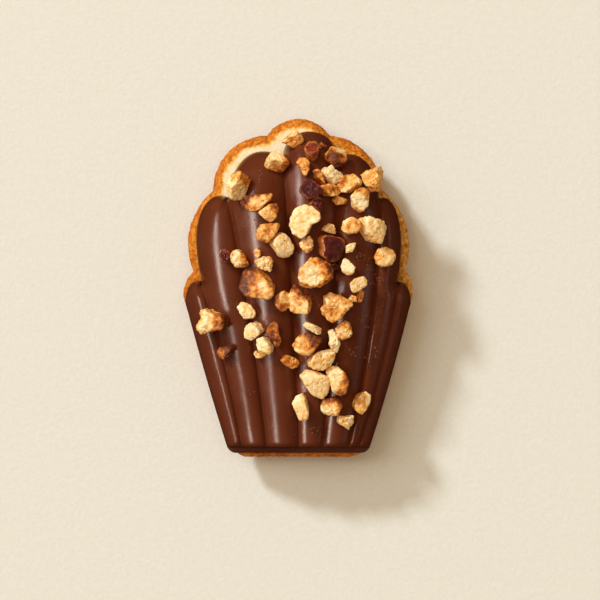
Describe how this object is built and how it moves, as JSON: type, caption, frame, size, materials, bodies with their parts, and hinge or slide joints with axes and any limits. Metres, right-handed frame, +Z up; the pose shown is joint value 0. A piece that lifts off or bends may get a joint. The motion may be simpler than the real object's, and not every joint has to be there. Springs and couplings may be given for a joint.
{
  "type": "madeleine",
  "caption": "Scalloped madeleine cake with a ribbed moulded chocolate coat on its top and chopped roasted nuts scattered over it.",
  "frame": {"origin": "middle of the cake's plan at the height of the surface it lies on", "axes": "+Z up out of the ribbed chocolate side, +Y towards the wide scalloped end, +X to the right when seen from above with the wide end away"},
  "size_m": [0.0507, 0.0748, 0.0264],
  "materials": {
    "sponge": "matt browned crust",
    "chocolate": "satin",
    "nut_pale": "matt",
    "nut_toasted": "matt",
    "caramel": "satin"
  },
  "bodies": {
    "root": {"sponge": "sponge", "chocolate_shell": "chocolate", "nut_wedge": "nut_pale", "nut_sliver": "nut_toasted", "nut_cream": "nut_pale", "nut_left_pale": "nut_pale", "nut_half": "nut_toasted", "nut_lobed": "nut_toasted", "nut_left_golden": "nut_toasted", "nut_right_pale": "nut_pale", "nut_rugged": "nut_toasted", "nut_brown_low": "nut_toasted", "nut_spotted": "nut_pale", "nut_tall": "nut_toasted", "caramel_large": "caramel"}
  },
  "joints": []
}
